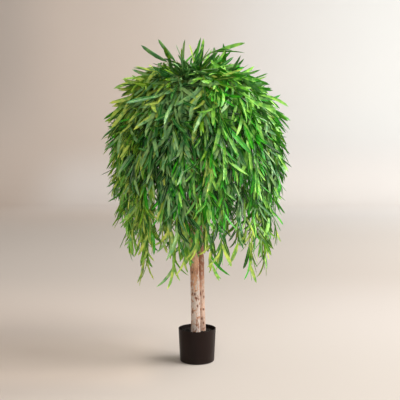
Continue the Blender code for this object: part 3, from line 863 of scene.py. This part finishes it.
CURTAIN = Tier(
    name="curtain",
    first_heading=-73.0,
    lopsided=0.13,
    stem_radius=0.0042,
    rise=20.0,
    fall=-92.0,
    arch=0.243,
    bare=0.05,
    hems=(0.46, 0.375, 0.38, 0.40, 0.39, 0.38, 0.44, 0.47, 0.45, 0.48, 0.44, 0.46),
    side_twigs=(
        (0.10, 17.0, 0.222, 0.05),
        (0.16, -18.0, 0.212, 0.11),
        (0.55, 42.0, 0.120, 0.24),
        (0.62, -44.0, 0.115, 0.14),
        (0.06, 8.0, 0.248, 0.38),
        (0.24, -9.0, 0.215, 0.33),
        (0.30, 30.0, 0.180, 0.38),
        (0.38, -31.0, 0.170, 0.44),
    ),
    spray_step=0.105,
    leaves=(0.0200, 0.92, (8.0, 36.0)),
    draw=2,
)
DOME = Tier(
    name="dome",
    first_heading=-62.0,
    lopsided=0.15,
    stem_radius=0.0036,
    rise=56.0,
    fall=-50.0,
    arch=0.272,
    bare=0.05,
    hems=(0.99, 1.03, 0.98, 1.00, 1.00, 1.03, 1.01, 1.00),
    side_twigs=(
        (0.18, 17.0, 0.255, 0.03),
        (0.24, -18.0, 0.240, 0.06),
        (0.50, 29.0, 0.155, 0.08),
        (0.58, -31.0, 0.140, 0.05),
        (0.08, 10.0, 0.230, 0.12),
        (0.12, -12.0, 0.200, 0.16),
        (0.20, 9.0, 0.250, -0.08),
        (0.30, -8.0, 0.225, -0.12),
        (0.30, 46.0, 0.180, 0.06),
        (0.36, -48.0, 0.170, 0.03),
        (0.52, 16.0, 0.150, -0.10),
        (0.60, -15.0, 0.130, -0.06),
    ),
    spray_step=0.080,
    leaves=(0.0255, 1.22, LEAF_SPREAD_HIGH),
    draw=6,
)
INNER = Tier(
    name="inner",
    first_heading=0.0,
    lopsided=0.04,
    stem_radius=0.0038,
    rise=46.0,
    fall=-91.0,
    arch=0.200,
    bare=0.06,
    hems=(0.45, 0.60, 0.57, 0.62, 0.58, 0.61),
    side_twigs=(
        (0.35, 34.0, 0.130, 0.06),
        (0.45, -36.0, 0.120, 0.03),
        (0.55, 18.0, 0.100, 0.16),
        (0.60, -60.0, 0.090, 0.12),
    ),
    spray_step=0.110,
    leaves=(0.0215, 0.95, (10.0, 44.0)),
    draw=0,
)


@dataclass
class Twig:
    """A twig's path, its thickness at the foot, the bare length there, and its family of tints."""

    points: list
    thick: float
    bare: float
    family: str


@dataclass
class Foliage:
    """The twigs and leaves that one joined piece of each kind is made of, and the nodes they stand for."""

    name: str
    nodes: list = field(default_factory=list)
    twigs: list = field(default_factory=list)
    leaves: list = field(default_factory=list)


def droop(start, degrees, rise, fall, arch, end):
    """Points of a stem that climbs at rise degrees, bends to fall degrees along its arch, then hangs to
    the height end, ever steeper."""
    points = [start.copy()]
    steps = max(2, round(arch / ARCH_STEP))
    for i in range(steps):
        points.append(points[-1] + climb(degrees, rise + (fall - rise) * (i + 0.5) / steps) * arch / steps)
    hang = points[-1].z - end
    steps = max(1, round(hang / HANG_STEP))
    for i in range(steps if hang > HANG_STEP / 3 else 0):
        steep = math.radians(max(-STEEPEST, fall - SAG * hang * (i + 0.5) / steps))
        out = heading(degrees) * math.cos(steep) / -math.sin(steep)
        points.append(points[-1] + (out - UP) * hang / steps)
    return points


def at_length(points, wanted):
    """Point and direction of a path at a length along it."""
    for first, second in zip(points, points[1:]):
        length = (second - first).length
        if wanted <= length:
            return first.lerp(second, wanted / length), (second - first).normalized()
        wanted -= length
    return points[-1].copy(), (points[-1] - points[-2]).normalized()


def path_length(points):
    return sum((b - a).length for a, b in zip(points, points[1:]))


def swayed(points, degrees, rng):
    """The path with a gentle sideways sway that grows from nothing at its foot."""
    phase = rng.uniform(0.0, math.tau)
    across, gone = heading(degrees + 90.0), 0.0
    made = [points[0].copy()]
    for before, point in zip(points, points[1:]):
        gone += (point - before).length
        swing = math.sin(math.tau * gone / TWIG_SWAY_LENGTH + phase) - math.sin(phase)
        made.append(point + across * TWIG_SWAY * swing * min(1.0, gone / TWIG_SWAY_FOOT))
    return made


def family_of(rng, degrees, tier_name):
    """A spray's family of tints: yellower to the left, more vivid to the right, cool in the middle."""
    right = heading(degrees).x
    front = max(0.0, heading(degrees).dot(heading(0.0)))
    high, inside = tier_name in ("dome", "crest"), tier_name == "inner"
    cool = COOL + (COOL_IN_FRONT_HIGH if high else COOL_IN_FRONT) * front + COOL_INSIDE * inside
    green = GREEN + GREEN_RIGHT * max(0.0, right)
    warm = (WARM_HIGH if high else WARM) + WARM_LEFT * max(0.0, -right)
    return rng.choices(["cool", "green", "warm"], [cool, green, warm])[0]


CAD_SIDES = np.array(CAD_BOX[1] - CAD_BOX[0])
LOW_REACH = np.array(CAD_BOX[0]) - PAST_LOW_SIDES * CAD_SIDES - PAST_LOW_SIDES_MORE
HIGH_REACH = np.array(CAD_BOX[1]) + PAST_HIGH_SIDES * CAD_SIDES
HIGH_REACH[2] = CAD_BOX[1].z - UNDER_TOP


def in_room(point):
    """True inside the plant's reach and clear of the poles."""
    if not all(low < value < high for low, value, high in zip(LOW_REACH, point, HIGH_REACH)):
        return False
    for pole in POLES:
        if point.z < pole.top:
            away = (point.xy - pole_axis(pole, point.z).xy).length
            if away < pole_radius(pole, point.z) + POLE_ROOM:
                return False
    return True


def leaf_direction(along, outwards, turn, spread, lean):
    """Leaves splay from the twig by spread degrees, to the side that turn gives, and lean out of the crown;
    their face looks out."""
    side = along.cross(outwards).normalized()
    up = side.cross(along).normalized()
    away = side * math.cos(turn) + up * math.sin(turn)
    spread = math.radians(spread)
    direction = (along * math.cos(spread) + away * math.sin(spread) + outwards * lean).normalized()
    face = (up + outwards * LEAF_FACE_OUTWARD).normalized()
    face = (face - direction * face.dot(direction)).normalized()
    return direction, face


def leaf_point(root, direction, face, length, bend, sweep, share):
    """Point on the rib of a leaf that bends back from its face and sweeps sideways along its length."""
    angle = max(STRAIGHT, abs(bend * share))
    forward = math.sin(angle) / angle
    sunk = math.copysign((1.0 - math.cos(angle)) / angle, bend)
    across = direction.cross(face) * sweep * share / 2
    return root + (direction * forward - face * sunk + across) * length * share


def add_leaf(foliage, twig, rng, root, along, share, turn, spread, size):
    """Notes a leaf, unless its tip or middle would leave the plant's room. The top is left more open."""
    slots = leaf_slots(rng, twig.family, share, root)
    if rng.random() < TOP_OPEN * smoothstep(root.z, *CREST_HEIGHTS):
        return
    top = smoothstep(root.z, *TOP_HEIGHTS)
    hem = 1.0 - smoothstep(root.z, *HEM_HEIGHTS)
    outwards = Vector((root.x - CROWN_AXIS.x, root.y - CROWN_AXIS.y, OUTWARD_RISE)).normalized()
    length = LEAF_LENGTH * size
    lean = rng.uniform(*LEAF_OUTWARD) * max(LEAN_LOW, smoothstep(root.z, *LEAN_HEIGHTS))
    direction, face = leaf_direction(along, outwards, turn, spread, lean * (1.0 - TOP_UPRIGHT * top))
    roll = LEAF_ROLL + TOP_ROLL * top
    face = Matrix.Rotation(rng.uniform(-roll, roll), 3, direction) @ face
    bend = rng.uniform(*LEAF_BEND)
    twist = rng.uniform(-LEAF_TWIST, LEAF_TWIST)
    sweep = rng.uniform(-LEAF_SWEEP, LEAF_SWEEP) * (1.0 + HEM_SICKLE * hem)
    width = LEAF_WIDTH * size**LEAF_WIDTH_GROWTH * rng.uniform(*LEAF_WIDTHS) * (1.0 + HEM_FULLER * hem)
    points = (leaf_point(root, direction, face, length, bend, sweep, part) for part in (0.5, 1.0))
    if all(in_room(point) for point in points):
        foliage.leaves.append((root, direction, face, length, width, bend, twist, sweep, slots))


def leaf_slots(rng, family, share, root):
    """Slots of a leaf's blade, rib and underside: lighter towards the spray's tip, with painted light on
    the top of the crown, more at its sides and its left, on the crest and along its left edge, and painted
    shade in its hem;
    and yellower in its hem and its upper left."""
    top = smoothstep(root.z, *TOP_HEIGHTS)
    hem = 1.0 - smoothstep(root.z, *HEM_HEIGHTS)
    left = smoothstep(-root.x, *LEFT_REACH)
    yellower = rng.random() < WARM_HEM * hem + WARM_TOP_LEFT * top * left
    first = TINT_SLOTS["warm" if yellower else family]
    # Painted shade in the hem: darker tints there.
    light = share + rng.uniform(*LIGHT_SPREAD) + HEM_PAINTED_SHADE * hem
    # Painted light on the top of the crown, more at its sides and its left, on the crest and along the left
    # edge.
    light += top * (TOP_PAINTED_LIGHT + TOP_SIDES_PAINTED_LIGHT * smoothstep(abs(root.x), *SIDES_REACH))
    light += top * TOP_LEFT_PAINTED_LIGHT * left
    light += CREST_PAINTED_LIGHT * smoothstep(root.z, *CREST_HEIGHTS)
    light += LEFT_EDGE_PAINTED_LIGHT * smoothstep(-root.x, *EDGE_REACH)
    step = int(min(TINT_STEPS - 1, max(0.0, light * TINT_STEPS)))
    return first + step, first + TINT_STEPS, first + TINT_STEPS + 1


def add_twig(foliage, twig, rng, leaves):
    """Notes a twig with leaves to alternate sides of it, and a tuft of them at its tip."""
    foliage.twigs.append(twig)
    leaf_step, leaf_size, spreads = leaves
    length = path_length(twig.points)
    place = twig.bare + leaf_step * rng.uniform(*LEAF_STARTS)
    right = rng.random() < 0.5
    while place < length - leaf_step * LEAF_STOP:
        root, along = at_length(twig.points, place)
        out = rng.uniform(*LEAF_SIDES)
        turn = out if right else math.pi - out
        share = place / length
        spread = rng.uniform(*spreads) * (1.0 - LEAF_SPREAD_LOST * share)
        size = leaf_size * rng.uniform(*LEAF_SIZES)
        add_leaf(foliage, twig, rng, root, along, share, turn, spread, size)
        right = not right
        place += leaf_step * rng.uniform(*LEAF_STEPS)
    end, along = at_length(twig.points, length - TIP_LEAF_INSET)
    for spread in TIP_LEAF_SPREADS:
        turn = rng.uniform(0.0, math.tau)
        size = leaf_size * rng.uniform(*TIP_LEAF_SIZES)
        add_leaf(foliage, twig, rng, end, along, 1.0, turn, spread, size)


def add_sprays(foliage, twig, tier, degrees, rng):
    """Short sprays that leave a twig to alternate sides and hang beside it."""
    length = path_length(twig.points)
    place = twig.bare + tier.spray_step * rng.uniform(*SPRAY_STARTS)
    side = rng.choice((-1, 1))
    while place < length - SPRAY_FREE:
        root, along = at_length(twig.points, place)
        turn = side * rng.uniform(*SPRAY_TURNS)
        arch = rng.uniform(*SPRAY_ARCHES)
        rise = math.degrees(math.asin(max(-1.0, min(1.0, along.z)))) + SPRAY_LIFT
        end = root.z - rng.uniform(*SPRAY_DROPS)
        points = droop(root, degrees + turn, rise, min(rise, SPRAY_FALL), arch, end)
        if all(in_room(point) for point in points):
            family = twig.family if rng.random() < SPRAY_LIKE_TWIG else family_of(rng, degrees, tier.name)
            spray = Twig(points, tier.stem_radius * SPRAY_TWIG, SPRAY_BARE, family)
            add_twig(foliage, spray, rng, tier.leaves)
        side = -side
        place += tier.spray_step * rng.uniform(*SPRAY_STEPS)


def grow_mass(foliage, tier, number, start, foot=()):
    """One mass of a tier. Its stem has the points of the foot, if there are any, and droops from start."""
    degrees = tier.heading_of(number)
    name = f"{tier.name}_{number + 1:02d}"
    rng = random.Random(f"{name} {SEED} {tier.draw}")
    foliage.nodes.append(name)
    arch = tier.arch * tier.reach(degrees) * rng.uniform(*STEM_ARCHES)
    end = tier.hems[number] + LAST_LEAF_DROP
    stem = [*foot, *droop(start, degrees, tier.rise, tier.fall, arch, end)]
    twigs = [(Twig(swayed(stem, degrees, rng), tier.stem_radius * STEM_THICKNESS, tier.bare, ""), degrees)]
    for share, turn, own_arch, lift in tier.side_twigs:
        root, _ = at_length(stem, share * arch)
        rise = tier.rise + (tier.fall - tier.rise) * share
        turn += rng.uniform(*SIDE_TWIG_TURNS)
        own_arch *= tier.reach(degrees + turn) * rng.uniform(*SIDE_TWIG_ARCHES)
        lift *= rng.uniform(*SIDE_TWIG_HEMS)
        points = droop(root, degrees + turn, rise + SIDE_TWIG_LIFT, tier.fall, own_arch, end + lift)
        points = swayed(points, degrees + turn, rng)
        if all(in_room(point) for point in points[1:]):
            twigs.append((Twig(points, tier.stem_radius * SIDE_TWIG, SIDE_TWIG_BARE, ""), degrees + turn))
    for twig, towards in twigs:
        twig.family = family_of(rng, towards, tier.name)
        add_twig(foliage, twig, rng, tier.leaves)
        add_sprays(foliage, twig, tier, towards, rng)


def grow_crest(foliage):
    """The tuft on top: a short upright stem, twigs that go up and out of it all round, and others that
    droop over the dome."""
    rng = random.Random(f"crest {SEED} {CREST_DRAW}")
    foliage.nodes.append("crest")
    head = CROWN_AXIS
    top = head + Vector(CREST_STEM)
    stem = [head + UP * CLEARANCE, head + UP * STEM_FOOT, head.lerp(top, 0.5), top]
    foliage.twigs.append(Twig(stem, CREST_STEM_RADIUS, 0.0, "green"))
    stem_length, thick = path_length(stem), CREST_STEM_RADIUS * SIDE_TWIG
    for i in range(CREST_TWIGS):
        degrees = CREST_TWIG_HEADING + i * CREST_TWIG_SPIRAL + rng.uniform(*CREST_TWIG_TURNS)
        share = CREST_TWIG_FIRST + CREST_TWIG_SPAN * i / (CREST_TWIGS - 1)
        root, _ = at_length(stem, stem_length * share)
        length = CREST_TWIG * rng.uniform(*CREST_TWIG_LENGTHS) * (1.0 + CREST_LOPSIDED * heading(degrees).x)
        rise = rng.uniform(*CREST_TWIG_RISES)
        points = [root]
        for step in range(CREST_TWIG_STEPS):
            forward = climb(degrees, rise - CREST_TWIG_BEND * step)
            points.append(points[-1] + forward * length / CREST_TWIG_STEPS)
        twig = Twig(points, thick, CREST_TWIG_BARE, family_of(rng, degrees, "crest"))
        add_twig(foliage, twig, rng, CREST_LEAVES)
    for i in range(CREST_DROOPS):
        degrees = i * 360.0 / CREST_DROOPS + rng.uniform(*CREST_DROOP_TURNS)
        root, _ = at_length(stem, stem_length * rng.uniform(*CREST_DROOP_ROOTS))
        arch = rng.uniform(*CREST_DROOP_ARCHES)
        points = droop(root, degrees, *CREST_DROOP_BEND, arch, root.z - CREST_DROOP_DROP)
        points = swayed(points, degrees, rng)
        twig = Twig(points, thick, SIDE_TWIG_BARE, family_of(rng, degrees, "crest"))
        add_twig(foliage, twig, rng, CREST_DROOP_LEAVES)
    root = top - UP * CREST_STEM_RADIUS
    leaning = Vector((TOP_LEAF_LEAN, 0.0, 1.0)).normalized()
    length = (CAD_BOX[1].z - root.z) / leaning.z
    shape = (length, LEAF_WIDTH * TOP_LEAF_WIDTH, TOP_LEAF_BEND, TOP_LEAF_TWIST, 0.0)
    slots = tuple(TINT_SLOTS["green"] + step for step in (1, TINT_STEPS, TINT_STEPS + 1))
    foliage.leaves.append((root, leaning, -heading(0.0), *shape, slots))


def tube_faces(base, rows, sides):
    """Faces of a tube whose rows of corners start at base, and which ends in a point, side by side."""
    end = base + (rows - 1) * sides
    for k in range(sides):
        after = (k + 1) % sides
        for row in range(base, end, sides):
            yield row + k, row + after, row + sides + after, row + sides + k
        yield end + k, end + after, end + sides


def leaf_pattern():
    """The leaf that is repeated: rows across it as (share along, sideways, height) in half widths, and its
    faces with 0 for the blade, 1 for the rib and 2 for the underside."""
    points = [(0.0, 0.0, 0.0)]
    for share, half in LEAF_STATIONS:
        rib = LEAF_RIB * math.sqrt(half)
        points += [(share, -half, LEAF_FOLD * half), (share, -rib, 0.0), (share, rib, 0.0)]
        points += [(share, half, LEAF_FOLD * half), (share, 0.0, -1.0)]
    points.append((1.0, 0.0, 0.0))
    strips = (0, 1, 0, 2, 2)
    faces = list(tube_faces(1, len(LEAF_STATIONS), len(strips)))
    faces += [(0, 1 + (k + 1) % len(strips), 1 + k) for k in range(len(strips))]
    kinds = np.repeat(strips, len(LEAF_STATIONS))
    return np.array(points), faces, np.append(kinds, strips)


def turned(first, second, angle):
    """Two directions square to each other, turned by an angle from the first towards the second."""
    cos, sin = np.cos(angle)[..., None], np.sin(angle)[..., None]
    return first * cos + second * sin, second * cos - first * sin


def model_leaves(foliage):
    """All the leaves of a foliage group as one joined mesh, each bent and twisted along its length."""
    pattern, faces, kinds = leaf_pattern()
    share, sideways, height = pattern.T
    *columns, slots = zip(*foliage.leaves)
    root, along, face, length, width, bend, twist, sweep = (np.array(column)[:, None] for column in columns)
    across = np.cross(along, face)
    angle = bend * share
    forward = length * share * np.sinc(angle / np.pi)
    sunk = length * share * angle / 2 * np.sinc(angle / math.tau) ** 2
    swept = length * sweep * share**2 / 2
    normal, _ = turned(face, along, angle)
    side, normal = turned(across, normal, twist * share)
    under = height < 0.0
    rib = (np.abs(sideways) <= LEAF_RIB) & (share > 0.0) & (share < 1.0) & ~under
    lift = np.where(under, -LEAF_THICKNESS, height * width / 2) + np.where(rib, LEAF_RIB_RISE, 0.0)
    corners = root + along * forward[..., None] - face * sunk[..., None] + across * swept[..., None]
    corners = corners + side * (sideways * width / 2)[..., None] + normal * lift[..., None]
    bases = range(0, len(slots) * len(pattern), len(pattern))
    joined = [tuple(base + corner for corner in one) for base in bases for one in faces]
    corners, slots = corners.reshape(-1, 3).tolist(), np.array(slots)[:, kinds].ravel()
    leaves = piece_from_arrays(foliage.name + "_leaves", corners, joined, slots)
    place_on_plant(leaves, 48, LEAF_FINISHES, foliage.nodes)


def model_twigs(foliage):
    """All the twigs of a foliage group as one joined mesh of tapering tubes that end in a point."""
    corners, faces = [], []
    ring = [i * math.tau / TWIG_SIDES for i in range(TWIG_SIDES)]
    for twig in foliage.twigs:
        across = None
        last = len(twig.points) - 1
        base = len(corners)
        for i, point in enumerate(twig.points):
            along = (twig.points[min(i + 1, last)] - twig.points[max(i - 1, 0)]).normalized()
            across = along.orthogonal() if across is None else across - along * across.dot(along)
            across.normalize()
            up = along.cross(across)
            thick = twig.thick * (1.0 + (TWIG_TAPER - 1.0) * i / last)
            corners += [point + (across * math.cos(a) + up * math.sin(a)) * thick for a in ring]
        corners.append(twig.points[-1] + along * twig.thick)
        faces += tube_faces(base, len(twig.points), TWIG_SIDES)
        faces.append(tuple(base + k for k in reversed(range(TWIG_SIDES))))
    twigs = piece_from_arrays(foliage.name + "_twigs", corners, faces, [0] * len(faces))
    place_on_plant(twigs, 60, [TWIG_GREEN], foliage.nodes)


def grow_crown():
    """Every mass, in the joined groups that the pieces are made of."""
    names = ("crest", "dome", "curtain_front", "curtain_back", "inner")
    groups = crest, dome, front, back, inner = [Foliage(name) for name in names]
    grow_crest(crest)
    for number in range(DOME.count):
        below = DOME_START_BELOW_HEAD + DOME_START_STEP * (number % 2)
        grow_mass(dome, DOME, number, pole_axis(MAIN_POLE, MAIN_POLE.top - below))
    for number in range(CURTAIN.count):
        path = bough_path(number)
        along = (path(1.0) - path(1.0 - BOUGH_TIP_SHARE)).normalized()
        foot = path(1.0) + along * CLEARANCE
        group = front if heading(CURTAIN.heading_of(number)).y < 0.0 else back
        grow_mass(group, CURTAIN, number, foot + along * STEM_FOOT, [foot])
    for number in range(INNER.count):
        pole = pole_towards(INNER.heading_of(number), SECOND_POLE_INNER)
        grow_mass(inner, INNER, number, pole_axis(pole, INNER_START + INNER_START_STEP * (number % 3)))
    for group in groups:
        model_leaves(group)
        model_twigs(group)


# Stage, light and camera

CAMERA_TILT = 3.92
STAGE_WIDTH = 30.0
STAGE_FRONT = -6.0
STAGE_BACK = 12.0
WALL_HEIGHT = 9.0
COVE_RADIUS = 2.4


def build_stage():
    """Seamless paper: a floor whose far edge is drawn up, with a wide round cove."""
    paper = add_primitive("studio_paper", bpy.ops.mesh.primitive_plane_add, size=1.0)
    paper.scale = (STAGE_WIDTH, STAGE_BACK - STAGE_FRONT, 1.0)
    paper.location.y = (STAGE_BACK + STAGE_FRONT) / 2
    bpy.ops.object.transform_apply(location=True, rotation=False, scale=True)
    with edit_mode(paper):
        select(paper, "EDGE", lambda co: co.y > STAGE_BACK - NEAR)
        extrude_by((0.0, 0.0, WALL_HEIGHT))
        select(paper, "EDGE", lambda co: co.y > STAGE_BACK - NEAR and co.z < NEAR)
        bpy.ops.mesh.bevel(offset=COVE_RADIUS, segments=24)
    dress(paper, 60, [backdrop_finish()])


def add_softbox(name, place, target, size, watts, colour):
    bpy.ops.object.light_add(type="AREA", location=place)
    lamp = bpy.context.object
    lamp.name = name
    lamp.data.shape = "SQUARE"
    lamp.data.size = size
    lamp.data.energy = watts
    lamp.data.color = colour
    lamp.rotation_euler = (Vector(target) - Vector(place)).to_track_quat("-Z", "Y").to_euler()


def light_studio():
    """A warm key light from the right, a weak one from the front, a cool one on the wall, and warm air."""
    crown, wall = (0.0, 0.0, 0.9), (3.5, 12.0, 2.2)
    add_softbox("key_light", (5.6, -1.1, 4.9), crown, size=6.2, watts=700.0, colour=(1.0, 0.99, 0.975))
    add_softbox("front_light", (-0.8, -6.5, 3.4), crown, size=2.4, watts=112.0, colour=(1.0, 0.99, 0.98))
    add_softbox("wall_light", (7.4, 4.0, 5.0), wall, size=4.2, watts=620.0, colour=(0.86, 0.95, 1.0))
    world = bpy.data.worlds.new("studio_air")
    bpy.context.scene.world = world
    world.use_nodes = True
    air = world.node_tree.nodes["Background"]
    air.inputs["Color"].default_value = (1.0, 0.885, 0.785, 1.0)
    air.inputs["Strength"].default_value = 0.25


def place_camera():
    data = bpy.data.cameras.new("camera")
    data.sensor_fit = "HORIZONTAL"
    data.sensor_width = 36.0
    data.lens = 68.17
    data.clip_end = 100.0
    camera = bpy.data.objects.new("camera", data)
    bpy.context.scene.collection.objects.link(camera)
    camera.location = (0.0134, -3.5, 0.995)
    camera.rotation_euler = (math.radians(90.0 - CAMERA_TILT), 0.0, 0.0)
    bpy.context.scene.camera = camera
    bpy.context.scene.view_settings.view_transform = "Standard"


place_camera()
build_stage()
light_studio()
model_pot()
model_fill()
scatter_lumps()
model_poles()
model_boughs()
grow_crown()
